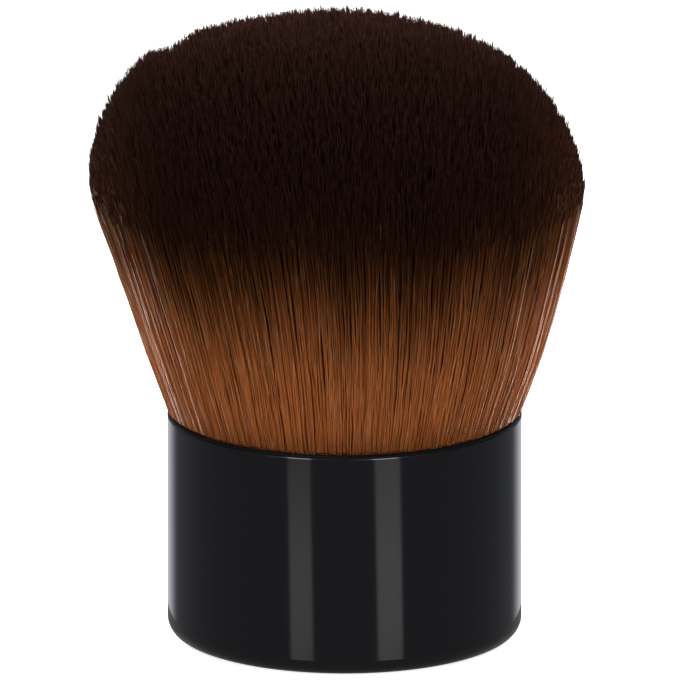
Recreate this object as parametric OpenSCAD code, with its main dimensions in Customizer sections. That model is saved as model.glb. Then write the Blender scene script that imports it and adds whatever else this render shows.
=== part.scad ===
// Short-handled kabuki brush: a domed tuft of filaments set in a black drawn cup.
// Millimetres, +Z up. The origin is the centre of the cup's flat base.
// The sizes are driven from the shell inwards: each piece takes its diameter from the wall
// that it sits in and a named clearance, and its height from the piece that it stands on.

/* [Shell] */
// Outside diameter of the shell
shell_d = 36; // [34:0.5:44]
// Height of the shell from its base to its lip
shell_h = 23.2; // [20:0.1:30]
// Thickness of the shell's wall
shell_wall = 0.5; // [0.4:0.05:0.8]
// Thickness of the shell's floor
shell_floor = 0.8; // [0.5:0.1:1.5]
// Radius of the rounding round the shell's base
base_round = 1.65; // [0.9:0.05:3]

/* [Ballast] */
// Thickness of the adhesive pad under the ballast
pad_t = 0.3; // [0.2:0.05:0.6]
// Diameter of the adhesive pad
pad_d = 26; // [16:1:28]
// Thickness of the steel ballast disc
ballast_t = 4; // [2:0.5:5]
// Clearance between the ballast and the shell's wall
ballast_gap = 0.6; // [0.2:0.1:1.5]
// Radius of the rounding round the ballast's edges
ballast_round = 0.6; // [0.3:0.1:0.9]

/* [Inner cup] */
// Thickness of the inner cup's wall
liner_wall = 0.7; // [0.5:0.05:1]
// Thickness of the inner cup's floor
liner_floor = 1.2; // [0.8:0.1:2]
// Clearance between the inner cup and the shell
liner_gap = 0.05; // [0.03:0.01:0.1]
// Thickness of the adhesive between the inner cup and the ferrule
bond_t = 0.15; // [0.1:0.05:0.3]

/* [Ferrule] */
// Thickness of the ferrule's wall
ferrule_wall = 0.35; // [0.25:0.05:0.5]
// Width of the ferrule's inward foot
foot_w = 2.5; // [1:0.5:5]

/* [Root tie] */
// Diameter of the thread
thread_d = 0.8; // [0.5:0.1:1]
// Number of turns of thread
thread_turns = 4; // [2:1:5]
// Height of the first turn above the ferrule's foot
thread_rise = 3; // [1.5:0.5:4]

/* [Tuft] */
// Height of the brush from its base to the top of the tuft
brush_h = 63.4; // [56:0.1:72]
// Width of the tuft at its shoulder
head_d = 50.3; // [46:0.1:56]
// Height of the shoulder, where the tuft is widest
shoulder_h = 46.5; // [42:0.5:50]
// Depth of the tuft's roots below the shell's lip
root_depth = 4.7; // [3.5:0.1:6]
// Thickness of the backing layer that each lot of filaments is cast into
backing_t = 1; // [0.6:0.1:2]
// Clearance between the filaments' roots and the ferrule's wall
root_gap = 0.7; // [0.5:0.1:1]
// Clearance between the filaments and the shell's lip
lip_gap = 0.15; // [0.1:0.05:0.3]
// Height above the lip to which the filaments splay fast
splay_h = 2.3; // [1:0.1:4]
// Sideways lean of the tuft's top, as it lies after use
tuft_lean = 1.5; // [0:0.1:3]
// Roundness of the dome seen from above, where 2 is an ellipse and more is fuller
dome_fullness = 2.4; // [2:0.1:3]
// Flatness of the dome's top, where 2 is an ellipse and more is flatter
dome_flatness = 2.2; // [2:0.1:3]
// Rings of filaments round the middle one
rings = 11; // [10:1:12]
// Outermost ring of the centre lot
centre_rings = 4; // [3:1:5]
// Outermost ring of the middle lot
middle_rings = 8; // [7:1:8]
// Width of a filament as a share of its pitch
strand_fill = 0.9; // [0.6:0.05:0.95]
// Length of a filament's pointed tip
tip_l = 2; // [1:0.5:5]
// Most that a filament's tip stops short of the dome
tip_jitter = 0.5; // [0:0.1:1.5]

/* [Hidden] */
// Clearance between curved faces that fit each other
fit_gap = 0.02;
// Depth to which a filament is sunk in its backing
sink = 0.2;
// Turn from one ring's first filament to the next ring's, in degrees
golden_turn = 137.508;
// Steps of halving that find a filament's tip
halvings = 24;
$fn = 96;

shell_r = shell_d / 2;
shell_bore_r = shell_r - shell_wall;
inner_round = max(base_round - shell_wall, 0.2);

ballast_z = shell_floor + pad_t;
ballast_r = shell_bore_r - ballast_gap;

liner_z = ballast_z + ballast_t;
liner_r = shell_bore_r - liner_gap;
liner_bore_r = liner_r - liner_wall;

ferrule_z = liner_z + liner_floor;
ferrule_r = liner_bore_r - bond_t;
ferrule_bore_r = ferrule_r - ferrule_wall;
foot_top_z = ferrule_z + ferrule_wall;
foot_bore_r = ferrule_bore_r - foot_w;

root_z = shell_h - root_depth;
plug_top_z = root_z - backing_t;
plug_r = ferrule_bore_r - fit_gap;
thread_z = foot_top_z + thread_rise;
thread_pitch = 0.9 * thread_d;
tie_r = plug_r - thread_d / 2;

// The filaments splay in proportion, so at any height the tuft is a scaled copy of its roots
root_r = ferrule_bore_r - root_gap;
lip_r = shell_bore_r - lip_gap;
low_splay = (lip_r - root_r) / root_depth;
splay_z = shell_h + splay_h;
splay_r = lip_r + low_splay * splay_h;
high_splay = (head_d / 2 - splay_r) / (shoulder_h - splay_z);
dome_h = brush_h - shoulder_h;

// The ferrule ends where the splayed filaments would come too near to its lip
ferrule_lip_z = root_z + (root_gap - 2 * lip_gap) / low_splay;
liner_lip_z = ferrule_lip_z - liner_wall;

// Half section of a straight round body with a rounded bottom edge, from z0 to z1
module round_foot_section(r, z0, z1, edge) {
    translate([0, z0]) square([r - edge, z1 - z0]);
    translate([0, z0 + edge]) square([r, z1 - z0 - edge]);
    translate([r - edge, z0 + edge]) circle(edge);
}

// A drawn cup: one sheet for the floor and the wall, rounded where they meet and at the lip
module outer_shell() {
    color("#16161a")
    rotate_extrude() {
        difference() {
            round_foot_section(shell_r, 0, shell_h - shell_wall / 2, base_round);
            round_foot_section(shell_bore_r, shell_floor, shell_h, inner_round);
        }
        translate([shell_r - shell_wall / 2, shell_h - shell_wall / 2]) circle(shell_wall / 2);
    }
}

module ballast_pad() {
    color("#d9d4c4")
    translate([0, 0, shell_floor]) cylinder(d = pad_d, h = pad_t);
}

module ballast_disc() {
    color("#8d9196")
    rotate_extrude() {
        translate([0, ballast_z]) square([ballast_r - ballast_round, ballast_t]);
        translate([0, ballast_z + ballast_round]) square([ballast_r, ballast_t - 2 * ballast_round]);
        for (z = [ballast_z + ballast_round, ballast_z + ballast_t - ballast_round])
            translate([ballast_r - ballast_round, z]) circle(ballast_round);
    }
}

module inner_cup() {
    color("#e6e6e2")
    difference() {
        translate([0, 0, liner_z]) cylinder(r = liner_r, h = liner_lip_z - liner_z);
        translate([0, 0, ferrule_z]) cylinder(r = liner_bore_r, h = liner_lip_z);
    }
}

module bonding_ring() {
    color("#c9b98a")
    difference() {
        translate([0, 0, ferrule_z]) cylinder(r = liner_bore_r - fit_gap, h = liner_lip_z - ferrule_z);
        translate([0, 0, ferrule_z - 1]) cylinder(r = ferrule_r + fit_gap, h = liner_lip_z);
    }
}

// A thin tube whose bottom end is turned in to a foot
module ferrule() {
    color("#c4c7ca")
    difference() {
        translate([0, 0, ferrule_z]) cylinder(r = ferrule_r, h = ferrule_lip_z - ferrule_z);
        translate([0, 0, foot_top_z]) cylinder(r = ferrule_bore_r, h = ferrule_lip_z);
        translate([0, 0, ferrule_z - 1]) cylinder(r = foot_bore_r, h = ferrule_wall + 2);
    }
}

// Half section of the thread's turns, or of the groove that they leave when grown by a clearance
module thread_section(grow) {
    for (i = [0 : thread_turns - 1])
        translate([tie_r, thread_z + i * thread_pitch]) circle(thread_d / 2 + grow);
}

module root_tie() {
    color("#f0ead8")
    rotate_extrude() thread_section(0);
}

// The epoxy fills the ferrule up to the backing layer, and the hole in the ferrule's foot
module glue_plug() {
    color("#b98a4a")
    rotate_extrude() difference() {
        union() {
            translate([0, ferrule_z]) square([foot_bore_r - fit_gap, plug_top_z - ferrule_z]);
            translate([0, foot_top_z]) square([plug_r, plug_top_z - foot_top_z]);
        }
        thread_section(fit_gap);
        translate([tie_r, thread_z - thread_d / 2 - fit_gap])
            square([thread_d, (thread_turns - 1) * thread_pitch + thread_d + 2 * fit_gap]);
    }
}

// Radius of the splayed tuft at a height, before the dome cuts it
function tuft_r(z) =
    z < splay_z ? root_r + (z - root_z) * low_splay
    : splay_r + (z - splay_z) * high_splay;

// Radius of the dome at a height between the shoulder and the top
function dome_r(z) = head_d / 2 * pow(1 - pow((z - shoulder_h) / dome_h, dome_flatness), 1 / dome_fullness);

// Height at which a filament with the root share u (0 in the middle, 1 at the edge) meets the dome
function tip_z(u, low, high, steps) =
    let (mid = (low + high) / 2)
    steps == 0 ? mid
    : u * tuft_r(mid) < dome_r(mid) ? tip_z(u, mid, high, steps - 1)
    : tip_z(u, low, mid, steps - 1);

// A number from 0 to 1 that looks random and is the same each time
function scatter(i) = let (s = 43.7 * sin(i * 78.233)) s - floor(s);

// A point of a filament: root share u, bearing a, height z, offset w in the direction b
function strand_point(u, a, z, w, b) =
    [u * tuft_r(z) * cos(a) + w * cos(b) - tuft_lean * max(z - shell_h, 0) / (brush_h - shell_h),
     u * tuft_r(z) * sin(a) + w * sin(b),
     z];

// Half width of a filament at a height, in proportion to the pitch there
function strand_w(z) = strand_fill / 2 * tuft_r(z) / (rings + 0.5);

// The ten points of one filament: three rings of three and the tip
function strand_points(ring, i) =
    let (u = ring / (rings + 0.5),
         count = max(6 * ring, 1),
         a = i * 360 / count + ring * golden_turn,
         turn = 120 * scatter(ring * 71 + i),
         top = tip_z(u, shoulder_h, brush_h, halvings) - tip_jitter * scatter(ring * 97 + i + 0.5),
         levels = [root_z - sink, splay_z, top - tip_l])
    concat([for (z = levels, k = [0 : 2]) strand_point(u, a, z, strand_w(z), turn + 120 * k)],
           [strand_point(u, a, top, 0, 0)]);

// The faces of one filament, whose points start at n
function strand_faces(n) =
    concat([[n, n + 1, n + 2]],
           [for (level = [0, 3], k = [0 : 2]) let (j = n + level, m = (k + 1) % 3) [j + k, j + 3 + k, j + m]],
           [for (level = [0, 3], k = [0 : 2]) let (j = n + level, m = (k + 1) % 3) [j + m, j + 3 + k, j + 3 + m]],
           [for (k = [0 : 2]) [n + 6 + k, n + 9, n + 6 + (k + 1) % 3]]);

// Filaments of the rings from first to last, in one shape
module strands(first, last) {
    places = [for (ring = [first : last], i = [0 : max(6 * ring, 1) - 1]) [ring, i]];
    polyhedron(points = [for (p = places) each strand_points(p[0], p[1])],
               faces = [for (n = [0 : len(places) - 1]) each strand_faces(10 * n)]);
}

// Radius of the joint between the lots of filaments, half way between two rings
function lot_r(ring) = tuft_r(root_z - sink / 2) * (ring + 0.5) / (rings + 0.5);

module bristles_centre() {
    color("#7a4526")
    union() {
        translate([0, 0, plug_top_z]) cylinder(r = lot_r(centre_rings) - fit_gap, h = backing_t);
        strands(0, centre_rings);
    }
}

module bristles_middle() {
    color("#6b3b20")
    union() {
        backing_ring(lot_r(centre_rings), lot_r(middle_rings) - fit_gap);
        strands(centre_rings + 1, middle_rings);
    }
}

module bristles_outer() {
    color("#5a3019")
    union() {
        backing_ring(lot_r(middle_rings), plug_r);
        strands(middle_rings + 1, rings);
    }
}

module backing_ring(bore_r, r) {
    translate([0, 0, plug_top_z])
    difference() {
        cylinder(r = r, h = backing_t);
        translate([0, 0, -1]) cylinder(r = bore_r, h = backing_t + 2);
    }
}

outer_shell();
ballast_pad();
ballast_disc();
inner_cup();
bonding_ring();
ferrule();
root_tie();
glue_plug();
bristles_centre();
bristles_middle();
bristles_outer();
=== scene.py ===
# A short kabuki brush: a gloss black shell with a domed tuft of two-tone filaments.
import math

import bmesh
import bpy
import numpy as np
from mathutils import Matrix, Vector


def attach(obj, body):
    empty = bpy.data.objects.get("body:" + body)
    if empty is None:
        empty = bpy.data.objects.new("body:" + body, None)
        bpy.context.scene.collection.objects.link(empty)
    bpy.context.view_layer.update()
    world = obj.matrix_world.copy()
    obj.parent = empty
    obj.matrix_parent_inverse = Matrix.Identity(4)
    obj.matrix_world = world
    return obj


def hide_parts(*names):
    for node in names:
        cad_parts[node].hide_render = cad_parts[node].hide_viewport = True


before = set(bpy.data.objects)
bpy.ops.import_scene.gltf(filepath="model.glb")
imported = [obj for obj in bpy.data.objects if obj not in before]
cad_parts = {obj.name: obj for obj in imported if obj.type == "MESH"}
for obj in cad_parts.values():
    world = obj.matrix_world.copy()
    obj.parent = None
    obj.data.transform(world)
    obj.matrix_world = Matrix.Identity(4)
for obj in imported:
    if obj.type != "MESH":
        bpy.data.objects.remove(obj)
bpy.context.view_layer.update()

mm = 0.001
scene = bpy.context.scene

# The camera stands far off with a long lens, as in the product shot, so upright sides stay parallel.
camera = {
    "elevation": math.radians(15),  # looks down on the brush by this much
    "distance": 3.0,
    "aim": (-0.466 * mm, 0.0, 30.49 * mm),  # what the middle of the frame shows
    "viewWidth": 68.96 * mm,  # width of the frame at the brush: 680 pixels at 0.1014 mm
    "sensor": 36.0,
    "clip": (0.1, 20.0),
}


def addCamera():
    data = bpy.data.cameras.new("camera")
    data.sensor_width = camera["sensor"]
    data.lens = camera["sensor"] * camera["distance"] / camera["viewWidth"]
    data.clip_start, data.clip_end = camera["clip"]
    obj = bpy.data.objects.new("camera", data)
    back = Vector((0, -math.cos(camera["elevation"]), math.sin(camera["elevation"])))
    obj.location = Vector(camera["aim"]) + back * camera["distance"]
    obj.rotation_euler = back.to_track_quat("Z", "Y").to_euler()
    scene.collection.objects.link(obj)
    scene.camera = obj


addCamera()
print("camera placed")


# Colours are written as the sRGB hex that a picker shows, and shaders want them linear.
def linear(hexColour):
    parts = [int(hexColour[i:i + 2], 16) / 255 for i in (1, 3, 5)]
    return [c / 12.92 if c <= 0.04045 else ((c + 0.055) / 1.055) ** 2.4 for c in parts] + [1.0]


# Keys are a socket's name or number, or a property of the node, and a value that is another node's
# output is linked. Properties come first, because some of them change the sockets.
def setNode(tree, node, settings):
    for key, value in settings.items():
        if isinstance(value, bpy.types.NodeSocket):
            tree.links.new(value, node.inputs[key])
        elif isinstance(key, int) or key in node.inputs:
            node.inputs[key].default_value = value
        else:
            setattr(node, key, value)


def addNode(tree, kind, settings):
    node = tree.nodes.new(kind)
    setNode(tree, node, settings)
    return node


# The next three take numbers, colours and nodes' outputs alike, and give back an output.
def calculated(tree, operation, first, second=0.0):
    return addNode(tree, "ShaderNodeMath", {"operation": operation, 0: first, 1: second}).outputs["Value"]


def mapped(tree, value, source, target=(0.0, 1.0), curve="LINEAR"):
    return addNode(tree, "ShaderNodeMapRange",
                   {"interpolation_type": curve, "Value": value, "From Min": source[0],
                    "From Max": source[1], "To Min": target[0], "To Max": target[1]}).outputs["Result"]


def mixed(tree, share, first, second):
    return addNode(tree, "ShaderNodeMix", {"data_type": "RGBA", 0: share, 6: first, 7: second}).outputs[2]


def noise(tree, place, size, detail=2.0):
    return addNode(tree, "ShaderNodeTexNoise",
                   {"Scale": 1 / size, "Detail": detail, "Vector": place}).outputs["Fac"]


def objectPlace(tree):
    return addNode(tree, "ShaderNodeTexCoord", {}).outputs["Object"]


def heightOf(tree, place):
    return addNode(tree, "ShaderNodeSeparateXYZ", {0: place}).outputs["Z"]


def newMaterial(name):
    material = bpy.data.materials.new(name)
    material.use_nodes = True
    tree = material.node_tree
    tree.nodes.clear()
    shader = addNode(tree, "ShaderNodeBsdfPrincipled", {})
    addNode(tree, "ShaderNodeOutputMaterial", {"Surface": shader.outputs["BSDF"]})
    return material, tree, shader


# Two colours mixed by a noise of a real size, the start of most of the plain finishes here.
def mottled(tree, first, second, size):
    grain = noise(tree, objectPlace(tree), size)
    return mixed(tree, grain, linear(first), linear(second)), grain


# Black stoving lacquer on a drawn aluminium cup: deep, cold black under a hard clear shine, with a
# faint orange peel that softens the edges of reflections, and a few fine specks of dust. The trimmed
# edge at the lip is thinly coated and matt, and the shine turns over just below it in a thin line.
lacquer = {
    "black": "#0c0c10",
    "roughness": 0.09,
    "shine": 0.5,
    "refraction": 1.5,
    "peelSize": 0.9 * mm,
    "peelDepth": 0.01 * mm,
    "peelStrength": 0.02,
    "edgeHeight": 22.72 * mm,  # where the shine starts to turn over,
    "edgeWidth": 0.12 * mm,  # over which height
    "edgeDrop": 0.045 * mm,  # and how far
    "edgeMatt": 0.6,  # share of that height from which the edge gets matt
    "edgeRoughness": 0.6,
    "edgeShine": 0.1,
    "dust": "#3a3a3c",
    "dustSize": 0.5 * mm,  # the usual distance from one speck to the next
    "dustSpeck": (0.03, 0.08),  # a speck's core and its rim, as shares of that
    "dustPatch": 6 * mm,  # the size of the patches in which the dust lies
    "dustFrom": (0.55, 0.8),  # their noise where dust starts and where it is thickest
    "dustMost": 0.4,
}


def lacqueredAluminium():
    material, tree, shader = newMaterial("black lacquered aluminium")
    place = objectPlace(tree)
    peel = addNode(tree, "ShaderNodeBump",
                   {"Strength": lacquer["peelStrength"], "Distance": lacquer["peelDepth"],
                    "Height": noise(tree, place, lacquer["peelSize"])})
    turning = (lacquer["edgeHeight"], lacquer["edgeHeight"] + lacquer["edgeWidth"])
    edge = mapped(tree, heightOf(tree, place), turning)
    turned = addNode(tree, "ShaderNodeBump",
                     {"invert": True, "Strength": 1.0, "Distance": lacquer["edgeDrop"],
                      "Height": edge, "Normal": peel.outputs["Normal"]})
    matt = (lacquer["edgeMatt"], 1.0)

    specks = addNode(tree, "ShaderNodeTexVoronoi", {"Scale": 1 / lacquer["dustSize"], "Vector": place})
    speck = mapped(tree, specks.outputs["Distance"], lacquer["dustSpeck"], (1.0, 0.0))
    patches = noise(tree, place, lacquer["dustPatch"], detail=1.0)
    dusty = mapped(tree, patches, lacquer["dustFrom"], (0.0, lacquer["dustMost"]))
    dust = calculated(tree, "MULTIPLY", speck, dusty)

    setNode(tree, shader, {
        "Base Color": mixed(tree, dust, linear(lacquer["black"]), linear(lacquer["dust"])),
        "Normal": turned.outputs["Normal"],
        "Roughness": mapped(tree, edge, matt, (lacquer["roughness"], lacquer["edgeRoughness"])),
        "Specular IOR Level": mapped(tree, edge, matt, (lacquer["shine"], lacquer["edgeShine"])),
        "IOR": lacquer["refraction"],
    })
    return material


# The tuft is PBT filament, extruded, tapered in acid and dip-dyed: tan at the roots and nearly black
# at the tips. All of it is drawn on one map. A column of the map is one shade of filament, and up the
# map goes the height above the shell's base, moved a little for each filament by how far it went into
# the dye, and at the tuft's two sides by painted side light. Its colour holds fine painted glints
# where a filament would catch light, painted shade between filaments, and browner ends, a painted
# backlight for the light that comes through them.
filament = {
    "root": "#cb7334",
    # The next two are a painted glint and painted shade between filaments.
    "paintedGlint": "#f0b892",
    "paintedGapShade": "#924e22",
    "tip": "#27140e",
    # A painted glint on the tips.
    "tipPaintedGlint": "#2c180f",
    # The end of a tip, painted browner for the light that comes through it.
    "backlitEnd": "#3a2118",
    "dyeLow": 30.5 * mm,  # where the dye begins on most filaments
    "dyeHigh": 60.0 * mm,  # and where it is full
    "dyeFade": 3.2,  # over 1 lets the dark tips run further down
    "mapBottom": 5.0 * mm,  # the height at the map's lower edge
    "mapTop": 76.0 * mm,
    "backlitFrom": (0.9, 0.95),  # shares of the map's height between which a tip turns into its thin end
    "columns": 128,
    "columnMargin": 0.1,  # share of a column that stays empty at each side
    "streakStep": 7.31,  # how far apart two columns lie in the streaks' noise
    # The next ones make painted glints and painted shade between filaments.
    "streak": 2.4 * mm,  # length of a light or dark streak along a filament
    "glintFrom": (0.55, 0.7),  # the noise where a light streak starts and where it is full
    "glintMost": 0.55,
    "gapShadeFrom": (0.45, 0.25),  # and a dark one
    "gapShadeMost": 0.3,
    "roughness": 0.42,
    "refraction": 1.55,
    "shine": 0.75,  # of the clean root
    "tipShine": 0.05,  # of the tip, which acid and dye leave matt
    "shineFrom": 0.2,  # how clean a filament is where its shine starts
}


# How strong the painted glints and the painted shade are along each column: a noise that is drawn
# anew in each column, and runs slowly up it.
def paintedStreaks(tree, column, up, span):
    apart = calculated(tree, "MULTIPLY", column, filament["streakStep"])
    along = calculated(tree, "MULTIPLY", up, span / filament["streak"])
    place = addNode(tree, "ShaderNodeCombineXYZ", {0: apart, 1: along})
    wave = addNode(tree, "ShaderNodeTexNoise",
                   {"noise_dimensions": "2D", "Scale": 1.0, "Detail": 1.0, "Roughness": 0.4,
                    "Vector": place.outputs["Vector"]}).outputs["Fac"]
    # Painted glints where the noise is high, painted shade where it is low.
    light = mapped(tree, wave, filament["glintFrom"], (0.0, filament["glintMost"]))
    gapShade = mapped(tree, wave, filament["gapShadeFrom"], (0.0, filament["gapShadeMost"]))
    return light, gapShade


def dippedFilament():
    material, tree, shader = newMaterial("dip-dyed PBT filament")
    uv = addNode(tree, "ShaderNodeUVMap", {"uv_map": "OFBake"}).outputs["UV"]
    split = addNode(tree, "ShaderNodeSeparateXYZ", {0: uv})
    across, up = split.outputs["X"], split.outputs["Y"]
    column = calculated(tree, "FLOOR", calculated(tree, "MULTIPLY", across, filament["columns"]))
    shade = addNode(tree, "ShaderNodeTexWhiteNoise", {"noise_dimensions": "1D", "W": column})
    span = filament["mapTop"] - filament["mapBottom"]
    light, gapShade = paintedStreaks(tree, column, up, span)

    dyed = [(filament[end] - filament["mapBottom"]) / span for end in ("dyeHigh", "dyeLow")]
    clean = mapped(tree, up, dyed, curve="SMOOTHSTEP")
    clean = calculated(tree, "POWER", clean, filament["dyeFade"])
    # Painted glints make the colour lighter, and painted shade makes it darker.
    glint = calculated(tree, "MULTIPLY", light, shade.outputs["Value"])
    body = mixed(tree, glint, linear(filament["root"]), linear(filament["paintedGlint"]))
    body = mixed(tree, gapShade, body, linear(filament["paintedGapShade"]))
    tips = mixed(tree, glint, linear(filament["tip"]), linear(filament["tipPaintedGlint"]))
    dipped = mixed(tree, clean, tips, body)
    # The ends are painted browner, a painted backlight.
    backlit = mapped(tree, up, filament["backlitFrom"])

    setNode(tree, shader, {
        "Base Color": mixed(tree, backlit, dipped, linear(filament["backlitEnd"])),
        "Specular IOR Level": mapped(tree, clean, (filament["shineFrom"], 1.0),
                                     (filament["tipShine"], filament["shine"])),
        "Roughness": filament["roughness"],
        "IOR": filament["refraction"],
    })
    return material


# Hidden pieces, with the finish that each has on the bench: its two tones, the size of its grain, how
# rough it is and how much of the grain stands in relief.
grainDepth = 0.05 * mm
finishes = {
    # Soft, dull cream foam.
    "ballast_pad": {"name": "acrylic foam adhesive", "tones": ("#dcd6c2", "#cfc7b0"),
                    "grain": 0.6 * mm, "roughness": 0.6, "relief": 0.3},
    # Cool grey metal with a cloudy shine.
    "ballast_disc": {"name": "zinc-plated steel", "tones": ("#c9ccd0", "#b2b6bb"),
                     "grain": 2.5 * mm, "roughness": 0.32, "relief": 0.1, "metal": 1.0},
    # Milky white, with a waxy shine.
    "inner_cup": {"name": "moulded white polypropylene", "tones": ("#efeee8", "#e4e3dc"),
                  "grain": 3.0 * mm, "roughness": 0.45, "relief": 0.1},
    # Honey-coloured and uneven.
    "bonding_ring": {"name": "cured contact adhesive", "tones": ("#c8b377", "#b39c5e"),
                     "grain": 1.2 * mm, "roughness": 0.35, "relief": 0.3},
    # Bright, nearly mirroring metal.
    "ferrule": {"name": "drawn bright aluminium", "tones": ("#e2e4e6", "#cfd2d5"),
                "grain": 1.5 * mm, "roughness": 0.25, "relief": 0.1, "metal": 1.0},
    # Matt cream, with a fine twist.
    "root_tie": {"name": "waxed cotton thread", "tones": ("#efe6cf", "#d8ccae"),
                 "grain": 0.3 * mm, "roughness": 0.8, "relief": 0.5},
    # Glassy brown.
    "glue_plug": {"name": "amber epoxy", "tones": ("#b07a34", "#9a6425"),
                  "grain": 2.0 * mm, "roughness": 0.18, "relief": 0.1},
}


def plainFinish(finish):
    material, tree, shader = newMaterial(finish["name"])
    colour, grain = mottled(tree, *finish["tones"], finish["grain"])
    bump = addNode(tree, "ShaderNodeBump",
                   {"Strength": finish["relief"], "Distance": grainDepth, "Height": grain})
    setNode(tree, shader, {
        "Base Color": colour,
        "Normal": bump.outputs["Normal"],
        "Roughness": finish["roughness"],
        "Metallic": finish.get("metal", 0.0),
    })
    return material


def dressNode(node, material):
    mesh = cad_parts[node].data
    if not mesh.materials:
        mesh.materials.append(material)
    for i in range(len(mesh.materials)):
        mesh.materials[i] = material


dressNode("outer_shell", lacqueredAluminium())
for node, finish in finishes.items():
    dressNode(node, plainFinish(finish))
print("shell and inner pieces finished")

# The tuft: filaments stand on the glue plug, splay in proportion, bulge over the shell's lip and end
# on a dome that leans a little to the left. Lengths are in millimetres until the copies are placed.
tuft = {
    "seed": 7,
    "heights": (17.5, 23.25, 23.5, 25.2),  # the plug's top, at and over the lip, and the splay
    "radii": (15.4, 17.3, 17.97, 18.5),  # the tuft's radius at each
    "shoulderHeight": 46.5,
    "shoulderRadius": 25.15,
    "flareCurve": 0.87,  # under 1 is fuller low down
    "top": 63.85,
    "fullness": 2.40,  # the dome's outline, where 2 and 2 are an ellipse
    "flatness": 2.23,
    "halvings": 24,  # steps in which a filament's way out of the dome is found
    "lean": 2.0,
    "leanFrom": 30.0,
    "leanCurve": 1.4,
    "turn": 137.508,  # degrees from one filament to the next, which fills a lot evenly
    "turnScatter": 0.02,  # how much that varies, in radians
    "stepScatter": (0.1, 0.9),  # where in its share of the lot a filament stands
    "diameter": 0.12,
    "diameterScatter": (0.8, 1.2),  # the thinnest and the thickest, as shares of that
    "tipLength": 1.0,  # the last, fast taper of a filament
    "tipShare": 0.7,  # its width where that begins
    "clump": 0.07,  # how far filaments draw together in clumps at the dome
    "clumpCurve": 1.5,  # over 1 draws them together mostly near the tips
    "clumpSizes": (0.7, 2.4),
    "stray": 0.08,  # how far one filament's tip wanders from its neighbours
    "sway": 0.08,  # how far a filament weaves to the sides of its route
    "rise": 0.025,  # and how far out of it
    "looseShare": 0.03,  # share of filaments that wander and weave more than the rest
    "loose": 4.0,  # and how many times as far
    "shortness": 0.15,  # mean length by which tips stop short of the dome
    "shortest": 3.0,  # and the most
    "excess": 0.1,  # most that a tip gains on that by chance, if its filament is not a loose one
    "spikes": 0.3,  # how far the small clumps' points stand out of the dome
    "spikeSizes": (0.45, 1.3),
    "spikeSeed": 97,
    # Patches of the dome that stand higher or lower: where, how wide to the sides, and how much.
    "patches": ((-21.2, 2.2, 0.55), (-17.9, 1.5, -0.5), (-7.8, 5.4, -0.45), (5.0, 4.0, -0.15),
                (22.5, 4.0, -0.4)),
    "patchMiddle": 5.0,  # all of them lie on the crest that the camera sees
    "patchDepth": 11.0,
    "dipSeed": 2390,
    "dipSizes": (5.0, 16.0),
    "dipWave": 0.7,  # how far the dye line rises and falls round the tuft
    # The dye line's rise at the two sides is painted side light.
    "sideLightDip": 1.6,  # how much higher it stands at the two sides, and lower at front and back
    "dipLeft": 0.7,  # and how much higher at the left, and lower at the right
    "dipTongue": (-16.6, 2.6, 2.6),  # a tongue of dark filaments in front: where, how wide and low
    "dipScatter": 1.5,  # how far the dye line wanders from one filament to the next
    "dipLimits": (-10.0, 4.4),  # the furthest up and down that all this moves it
    "undyed": 0.008,  # share of filaments that were dipped less deep
    "undyedRise": 6.0,  # and by how much
    # Painted side light: at the tuft's two sides the dye is never darker than it is at these heights,
    # which go with shares of the tuft's half width.
    "paintedSideLight": ((0.5, 0.65, 0.8, 0.93), (60.0, 50.5, 45.5, 42.5)),
}

# The lots, as they are laid up: share of the roots' radius, filaments, and heights of their bends as
# a share of the way to the tip. Only the skin shows its whole length, so it bends at more places.
# Low says at which of the heights above, counted from the plug, a lot has a ring.
lots = {
    "centre": {"node": "bristles_centre", "inside": 0.0, "outside": 0.39, "count": 8000, "pieces": 1,
               "bends": (0.4,), "low": (0, 3)},
    "middle": {"node": "bristles_middle", "inside": 0.39, "outside": 0.74, "count": 18000, "pieces": 3,
               "bends": (0.4,), "low": (0, 3)},
    "outer": {"node": "bristles_outer", "inside": 0.74, "outside": 0.88, "count": 12000, "pieces": 3,
              "bends": (0.3, 0.65), "low": (0, 1, 2)},
    "skin": {"node": "bristles_outer", "inside": 0.88, "outside": 1.0, "count": 15000, "pieces": 5,
             "bends": (0.12, 0.27, 0.43, 0.62, 0.82), "low": (0, 1, 2)},
}


# Radius that the whole tuft has at a height, before the dome cuts it.
def splay(z):
    low = np.interp(z, tuft["heights"], tuft["radii"])
    rise = np.clip((z - tuft["heights"][-1]) / (tuft["shoulderHeight"] - tuft["heights"][-1]), 0, None)
    return low + (tuft["shoulderRadius"] - tuft["radii"][-1]) * rise ** tuft["flareCurve"]


def domeRadius(z):
    rise = np.clip((z - tuft["shoulderHeight"]) / (tuft["top"] - tuft["shoulderHeight"]), 0, 1)
    return tuft["shoulderRadius"] * (1 - rise ** tuft["flatness"]) ** (1 / tuft["fullness"])


# Height at which a filament with this share of the radius comes out of the dome, by halving.
def domeHeight(share):
    low = np.full(share.shape, tuft["shoulderHeight"])
    high = np.full(share.shape, tuft["top"])
    for _ in range(tuft["halvings"]):
        middle = (low + high) / 2
        inside = share * splay(middle) < domeRadius(middle)
        low = np.where(inside, middle, low)
        high = np.where(inside, high, middle)
    return (low + high) / 2


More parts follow.
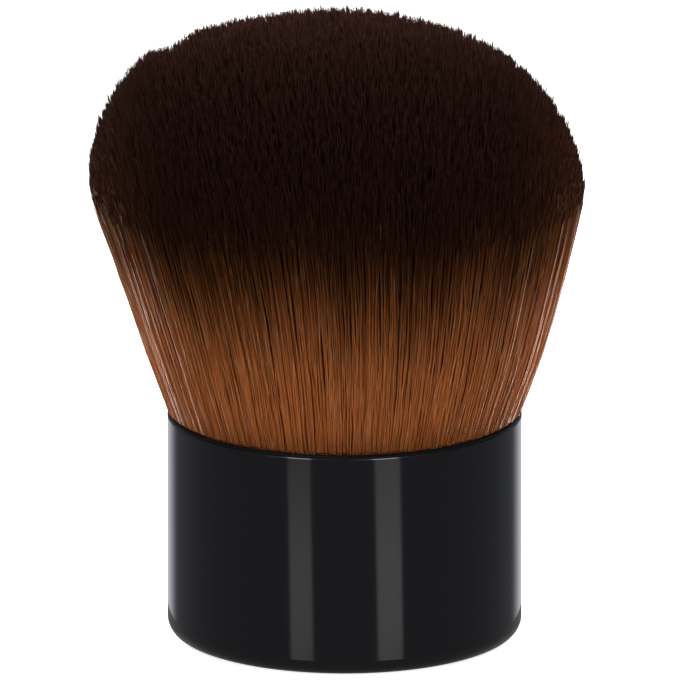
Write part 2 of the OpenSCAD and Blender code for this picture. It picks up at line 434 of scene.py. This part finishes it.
# A smooth random field over the tuft's cross-section, made of waves of many lengths. It gives a push
# towards clumps and a plain rise and fall, both of about one.
def waves(seed, x, y, lengths, number=30):
    rng = np.random.default_rng(seed)
    pushX, pushY, rise = np.zeros_like(x), np.zeros_like(x), np.zeros_like(x)
    for _ in range(number):
        length = rng.uniform(*lengths)
        bearing = rng.uniform(0, 2 * math.pi)
        along = (x * math.cos(bearing) + y * math.sin(bearing)) * 2 * math.pi / length
        wave = np.sin(along + rng.uniform(0, 2 * math.pi)) * math.sqrt(2 / number)
        pushX += wave * math.cos(bearing) * length / lengths[1]
        pushY += wave * math.sin(bearing) * length / lengths[1]
        rise += wave
    return pushX, pushY, rise


# Each filament's share of the radius and its bearing.
def layUp(rng, lot):
    count = lot["count"]
    step = np.arange(count) + rng.uniform(*tuft["stepScatter"], count)
    share = np.sqrt(lot["inside"] ** 2 + (lot["outside"] ** 2 - lot["inside"] ** 2) * step / count)
    around = np.arange(count) * math.radians(tuft["turn"]) + rng.normal(0, tuft["turnScatter"], count)
    return share, around


# The tips end on the dome, with its patches and small points, and most of them a little short of it.
def tipHeights(rng, share, around, loose):
    tip = domeHeight(share)
    x, y = (share * splay(tip) * f(around) for f in (np.cos, np.sin))
    crest = np.exp(-((y - tuft["patchMiddle"]) / tuft["patchDepth"]) ** 2)
    patches = sum(height * np.exp(-((x - tuft["lean"] - middle) / reach) ** 2)
                  for middle, reach, height in tuft["patches"])
    _, _, spikes = waves(tuft["spikeSeed"], x, y, tuft["spikeSizes"])
    shortfall = rng.exponential(tuft["shortness"], share.size)
    shortfall = shortfall - tuft["excess"] * rng.random(share.size) * loose
    return tip + patches * crest + spikes * tuft["spikes"] - np.minimum(shortfall, tuft["shortest"])


# Where a filament would be at the shoulder's height, which tells its neighbours from the rest.
def shoulderPlaces(share, around):
    return [share * f(around) * tuft["shoulderRadius"] for f in (np.cos, np.sin)]


# Rings lie along the splay, from which clumps, stray tips, a weave and the lean move them, except
# under the lip.
def ringPlaces(rng, share, around, loose, heights, foot):
    rise = np.clip((heights - foot) / (tuft["top"] - foot), 0, 1)
    cosine, sine = np.cos(around)[:, None], np.sin(around)[:, None]
    radius = share[:, None] * splay(heights)
    pushX, pushY, _ = waves(tuft["seed"], *shoulderPlaces(share, around), tuft["clumpSizes"])
    gather = tuft["clump"] * rise ** tuft["clumpCurve"]
    wander = rng.normal(0, tuft["stray"], (2, share.size)) * loose
    sway = rng.normal(0, tuft["sway"], heights.shape) * (rise > 0) * loose[:, None]
    lift = rng.normal(0, tuft["rise"], heights.shape) * (rise > 0)
    leaning = np.clip((heights - tuft["leanFrom"]) / (tuft["top"] - tuft["leanFrom"]), 0, None)
    lean = tuft["lean"] * leaning ** tuft["leanCurve"]
    x = radius * cosine + pushX[:, None] * gather + wander[0][:, None] * rise
    y = radius * sine + pushY[:, None] * gather + wander[1][:, None] * rise
    return x - sway * sine + lift * cosine - lean, y + sway * cosine + lift * sine


# How far each filament went into the dye, with painted side light in it, and a cap on its height
# on the map that paints light on the tuft's two sides.
def dyeDepthsAndSideLight(rng, share, around):
    x, y = shoulderPlaces(share, around)
    _, _, wave = waves(tuft["dipSeed"], x, y, tuft["dipSizes"])
    dip = wave * tuft["dipWave"] + rng.normal(0, tuft["dipScatter"], share.size)
    # The rise of the dye line at the two sides is painted side light.
    dip = dip - tuft["sideLightDip"] * np.cos(2 * around) + tuft["dipLeft"] * np.cos(around)
    middle, reach, depth = tuft["dipTongue"]
    dip = dip + depth * np.exp(-((x - middle) / reach) ** 2) * (y < 0)
    dip = dip - tuft["undyedRise"] * (rng.random(share.size) < tuft["undyed"])
    # The cap at the two sides is painted side light.
    sideLitCap = np.interp(np.abs(x) / tuft["shoulderRadius"], *tuft["paintedSideLight"])
    return np.clip(dip, *tuft["dipLimits"]), sideLitCap


# Where a lot's filaments run, ring by ring, with their half widths, their dye and its painted side light.
def filamentRoutes(rng, lot):
    share, around = layUp(rng, lot)
    loose = np.where(rng.random(share.size) < tuft["looseShare"], tuft["loose"], 1.0)
    tip = tipHeights(rng, share, around, loose)
    foot = tuft["heights"][2]
    low = [np.full(share.size, tuft["heights"][i]) for i in lot["low"]]
    bends = [foot + (tip - foot) * bend for bend in lot["bends"]]
    heights = np.stack(low + bends + [tip - tuft["tipLength"], tip], 1)
    x, y = ringPlaces(rng, share, around, loose, heights, foot)

    scatter = rng.uniform(*tuft["diameterScatter"], share.size)
    widths = np.full(heights.shape, tuft["diameter"] / 2) * scatter[:, None]
    widths[:, -2] *= tuft["tipShare"]
    widths[:, -1] = 0
    return np.stack([x, y, heights], 2), widths, *dyeDepthsAndSideLight(rng, share, around)


# One three-sided filament: a long cone cut into rings, whose corners' heights count the rings.
def filamentTemplate(rings):
    bm = bmesh.new()
    bmesh.ops.create_cone(bm, cap_ends=True, cap_tris=False, segments=3, radius1=1, radius2=0, depth=rings)
    bmesh.ops.translate(bm, verts=bm.verts, vec=(0, 0, rings / 2))
    for ring in range(1, rings):
        bmesh.ops.bisect_plane(bm, geom=bm.verts[:] + bm.edges[:] + bm.faces[:],
                               plane_co=(0, 0, ring), plane_no=(0, 0, 1))
    mesh = bpy.data.meshes.new("filament")
    bm.to_mesh(mesh)
    bm.free()
    return mesh


# Copies of the template, which an array makes far faster than a loop.
def filamentCopies(template, count):
    obj = bpy.data.objects.new("filament", template)
    scene.collection.objects.link(obj)
    array = obj.modifiers.new("copies", "ARRAY")
    array.use_relative_offset = False
    array.use_constant_offset = True
    array.constant_offset_displace = (0, 0, 0)
    array.count = count
    mesh = bpy.data.meshes.new_from_object(obj.evaluated_get(bpy.context.evaluated_depsgraph_get()))
    bpy.data.objects.remove(obj)
    return mesh


# The ring and the side, of three, of each of the template's corners.
def cornerNumbers(template):
    corners = np.empty(len(template.vertices) * 3, np.float32)
    template.vertices.foreach_get("co", corners)
    x, y, z = corners.reshape(-1, 3).T
    side = np.rint(np.degrees(np.arctan2(y, x)) / 120 + 3).astype(int) % 3
    return np.rint(z).astype(int), side


# Puts the copies on their routes, each at a random turn, and returns their corners' heights.
def placeCopies(mesh, ring, side, routes, widths, rng):
    turn = rng.uniform(0, 2 * math.pi, len(routes))[:, None] + side * 2 * math.pi / 3
    half = widths[:, ring]
    out = np.stack([np.cos(turn) * half, np.sin(turn) * half, np.zeros_like(half)], 2)
    places = (routes[:, ring, :] + out) * mm
    mesh.vertices.foreach_set("co", places.astype(np.float32).ravel())
    return places[:, :, 2]


# Draws the copies' map. The three sides of a filament lie next to each other in a random column.
def drawMap(mesh, template, ring, side, heights, dip, sideLitCap, rng):
    tip = ring.max()
    used, across = [], []
    for face in template.polygons:
        sides = [side[i] for i in face.vertices if ring[i] < tip]
        first = 2 if 0 in sides and 2 in sides and 1 not in sides else min(sides)
        for i in face.vertices:
            used.append(i)
            across.append(first + 0.5 if ring[i] == tip else first + (side[i] - first) % 3)
    margin = filament["columnMargin"]
    column = rng.integers(0, filament["columns"], len(heights))
    u = (column[:, None] + margin + (1 - 2 * margin) * np.array(across) / 3) / filament["columns"]
    # Heights on the map, capped at the tuft's sides by the painted side light.
    dyed = np.minimum(heights[:, used] + dip[:, None] * mm, sideLitCap[:, None] * mm)
    v = (dyed - filament["mapBottom"]) / (filament["mapTop"] - filament["mapBottom"])
    v[:, ring[used] == tip] = 1.0
    uv = mesh.uv_layers.new(name="OFBake")
    uv.data.foreach_set("uv", np.stack([u, v], 2).astype(np.float32).ravel())


def addPiece(mesh, name, material):
    mesh.name = name
    mesh.materials.clear()
    mesh.materials.append(material)
    obj = bpy.data.objects.new(name, mesh)
    scene.collection.objects.link(obj)
    return obj


def growTuft():
    material = dippedFilament()
    for number, (name, lot) in enumerate(lots.items()):
        rng = np.random.default_rng(tuft["seed"] + 1 + number)
        routes, widths, dip, sideLitCap = filamentRoutes(rng, lot)
        template = filamentTemplate(routes.shape[1] - 1)
        ring, side = cornerNumbers(template)
        order = np.argsort(np.arctan2(routes[:, -1, 1], routes[:, -1, 0]))
        for piece, chosen in enumerate(np.array_split(order, lot["pieces"])):
            mesh = filamentCopies(template, len(chosen))
            heights = placeCopies(mesh, ring, side, routes[chosen], widths[chosen], rng)
            drawMap(mesh, template, ring, side, heights, dip[chosen], sideLitCap[chosen], rng)
            mesh.polygons.foreach_set("use_smooth", np.ones(len(mesh.polygons), bool))
            mesh.update()
            obj = addPiece(mesh, f"{name}_filaments_{piece + 1}", material)
            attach(obj, "root")
            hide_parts(lot["node"])
        print(name, "lot of filaments grown:", lot["count"])


growTuft()

# The studio. The camera alone sees the table, which is lit from within, so the brush stands on white.
# The rest is there for the brush: a room that is dim in front and bright behind, with a low glow
# behind at the left and right that gives the tuft's sides their sheen, the table's shadow under the
# shell, lights, and the two bright bars that the key lights throw on the table and the shell mirrors.
table = {
    "colours": ("#f4f4f2", "#f8f8f6"),
    "cloudSize": 0.4,
    "size": 4.0,
    "roughness": 0.9,
    "glow": 0.74,
}


def addTable():
    bm = bmesh.new()
    bmesh.ops.create_grid(bm, x_segments=1, y_segments=1, size=table["size"] / 2)
    mesh = bpy.data.meshes.new("floor")
    bm.to_mesh(mesh)
    bm.free()
    material, tree, shader = newMaterial("white light table")
    colour, _ = mottled(tree, *table["colours"], table["cloudSize"])
    setNode(tree, shader, {
        "Base Color": colour,
        "Roughness": table["roughness"],
        "Emission Color": (1, 1, 1, 1),
        "Emission Strength": table["glow"],
    })
    floor = addPiece(mesh, "floor", material)
    floor.visible_glossy = False
    floor.visible_diffuse = False
    floor.visible_shadow = False


# The table right under the brush lies in its shadow, so the shell's rounded foot mirrors little light.
shadow = {
    "colours": ("#f4f4f2", "#e8e8e6"),
    "cloudSize": 20 * mm,
    "radius": 22.5 * mm,
    "height": -0.1 * mm,
    "corners": 64,
    "radiance": 0.24,
}


def addShadow():
    bm = bmesh.new()
    bmesh.ops.create_circle(bm, cap_ends=True, segments=shadow["corners"], radius=shadow["radius"])
    bmesh.ops.translate(bm, verts=bm.verts, vec=(0, 0, shadow["height"]))
    mesh = bpy.data.meshes.new("shadow")
    bm.to_mesh(mesh)
    bm.free()
    material, tree, shader = newMaterial("shadowed table")
    colour, _ = mottled(tree, *shadow["colours"], shadow["cloudSize"])
    setNode(tree, shader, {
        "Base Color": (0, 0, 0, 1),
        "Specular IOR Level": 0,
        "Emission Color": colour,
        "Emission Strength": shadow["radiance"],
    })
    obj = addPiece(mesh, "shadow", material)
    obj.visible_camera = False
    obj.visible_diffuse = False
    obj.visible_shadow = False


# Bearings are in degrees from the camera's side, and to its right, and heights are degrees above the
# horizon. The rim lights brighten the dome's edge from behind, and nothing mirrors them.
lights = {
    "overhead": {"bearing": 180, "height": 70, "distance": 1.3, "size": (1.4, 1.4), "radiance": 0.65},
    "leftKey": {"bearing": -30.5, "height": 28, "distance": 1.2, "size": (0.3, 1.0), "radiance": 5.9},
    "rightKey": {"bearing": 27.0, "height": 28, "distance": 1.2, "size": (0.34, 1.0), "radiance": 5.9},
    "leftSide": {"bearing": -108, "height": 32, "distance": 1.2, "size": (0.4, 0.6), "radiance": 0.8},
    "rightSide": {"bearing": 108, "height": 32, "distance": 1.2, "size": (0.4, 0.6), "radiance": 0.8},
    "backRim": {"bearing": 180, "height": 12, "distance": 1.2, "size": (1.0, 0.4), "radiance": 25.0,
                "mirrored": False},
    "leftRim": {"bearing": -140, "height": 30, "distance": 1.2, "size": (0.6, 0.6), "radiance": 14.0,
                "mirrored": False},
    "rightRim": {"bearing": 140, "height": 30, "distance": 1.2, "size": (0.6, 0.6), "radiance": 14.0,
                 "mirrored": False},
}


def addLight(name, light):
    bearing, height = math.radians(light["bearing"]), math.radians(light["height"])
    towards = Vector((math.sin(bearing) * math.cos(height), -math.cos(bearing) * math.cos(height),
                      math.sin(height)))
    data = bpy.data.lights.new(name, "AREA")
    data.shape = "RECTANGLE"
    data.size, data.size_y = light["size"]
    data.energy = light["radiance"] * math.pi * data.size * data.size_y
    obj = bpy.data.objects.new(name, data)
    obj.visible_glossy = light.get("mirrored", True)
    obj.location = towards * light["distance"]
    obj.rotation_euler = towards.to_track_quat("Z", "Y").to_euler()
    scene.collection.objects.link(obj)


# Cards under the table stand for the key lights' images in it. Each is brightest low down.
barShape = {
    "reach": 0.3,  # how far from the brush they stand
    "top": -20 * mm,
    "faint": -51 * mm,  # heights between which a bar brightens
    "bright": -66 * mm,
    "fades": (-88 * mm, -76 * mm),
    "bottom": -100 * mm,
    "slant": 0.56,  # the bars on the shell stand a little out of plumb
}
bars = {
    "leftBar": {"bearing": -29.6, "width": 76 * mm, "radiance": 1.1, "faint": 0.45},
    "rightBar": {"bearing": 26.6, "width": 85 * mm, "radiance": 1.28, "faint": 0.65},
}


def barCard(name, bar):
    material, tree, shader = newMaterial(name)
    height = heightOf(tree, objectPlace(tree))
    glow = mapped(tree, height, (barShape["faint"], barShape["bright"]),
                  (bar["radiance"] * bar["faint"], bar["radiance"]))
    foot = mapped(tree, height, barShape["fades"], curve="SMOOTHSTEP")
    setNode(tree, shader, {
        "Base Color": (0, 0, 0, 1),
        "Specular IOR Level": 0,
        "Emission Color": (1, 1, 1, 1),
        "Emission Strength": calculated(tree, "MULTIPLY", glow, foot),
    })
    return material


def addBar(name, bar):
    bm = bmesh.new()
    bmesh.ops.create_grid(bm, x_segments=1, y_segments=1, size=0.5)
    bearing = math.radians(bar["bearing"])
    for v in bm.verts:
        z = barShape["top"] if v.co.y > 0 else barShape["bottom"]
        across = v.co.x * bar["width"] + barShape["slant"] * (barShape["faint"] - z)
        v.co = (barShape["reach"] * math.sin(bearing) + across * math.cos(bearing),
                -barShape["reach"] * math.cos(bearing) + across * math.sin(bearing), z)
    mesh = bpy.data.meshes.new(name)
    bm.to_mesh(mesh)
    bm.free()
    obj = addPiece(mesh, name, barCard(name + " card", bar))
    obj.visible_camera = False


# The room's light by direction, in radiance. Each range says where a light starts and where it is
# full, as cosines from straight behind, straight to the side or straight up.
room = {
    "colour": "#f6f9ff",
    "front": 0.2,
    "wall": 0.95,
    "wallRange": (0.72, 0.93),
    "horizon": (-0.45, -0.3),  # the room goes over into the table here
    "below": 0.05,
    "belowSides": 0.15,
    "sidesRange": (0.3, 0.9),
    "glow": 12.0,  # the low glow behind at the left and right
    "glowBack": (0.5, 0.82),
    "glowSide": (0.15, 0.4),
    "glowUp": (-0.75, -0.65),
}


def lightRoom():
    world = bpy.data.worlds.new("studio")
    world.use_nodes = True
    tree = world.node_tree
    direction = addNode(tree, "ShaderNodeTexCoord", {}).outputs["Generated"]
    split = addNode(tree, "ShaderNodeSeparateXYZ", {0: direction})
    back, up = split.outputs["Y"], split.outputs["Z"]
    aside = calculated(tree, "ABSOLUTE", split.outputs["X"])

    wall = mapped(tree, back, room["wallRange"], (0.0, room["wall"] - room["front"]), "SMOOTHERSTEP")
    above = calculated(tree, "ADD", wall, room["front"])
    below = mapped(tree, aside, room["sidesRange"], (room["below"], room["belowSides"]), "SMOOTHSTEP")
    glow = mapped(tree, up, room["glowUp"], (0.0, room["glow"]))
    glow = mapped(tree, aside, room["glowSide"], (0.0, glow), "SMOOTHSTEP")
    glow = mapped(tree, back, room["glowBack"], (0.0, glow), "SMOOTHSTEP")
    below = calculated(tree, "ADD", below, glow)

    strength = addNode(tree, "ShaderNodeMix",
                       {"data_type": "FLOAT", 0: mapped(tree, up, room["horizon"]), 2: below, 3: above})
    setNode(tree, tree.nodes["Background"],
            {"Color": linear(room["colour"]), "Strength": strength.outputs[0]})
    scene.world = world


addTable()
addShadow()
for name, light in lights.items():
    addLight(name, light)
for name, bar in bars.items():
    addBar(name, bar)
lightRoom()
scene.view_settings.view_transform = "Standard"
print("studio lit")
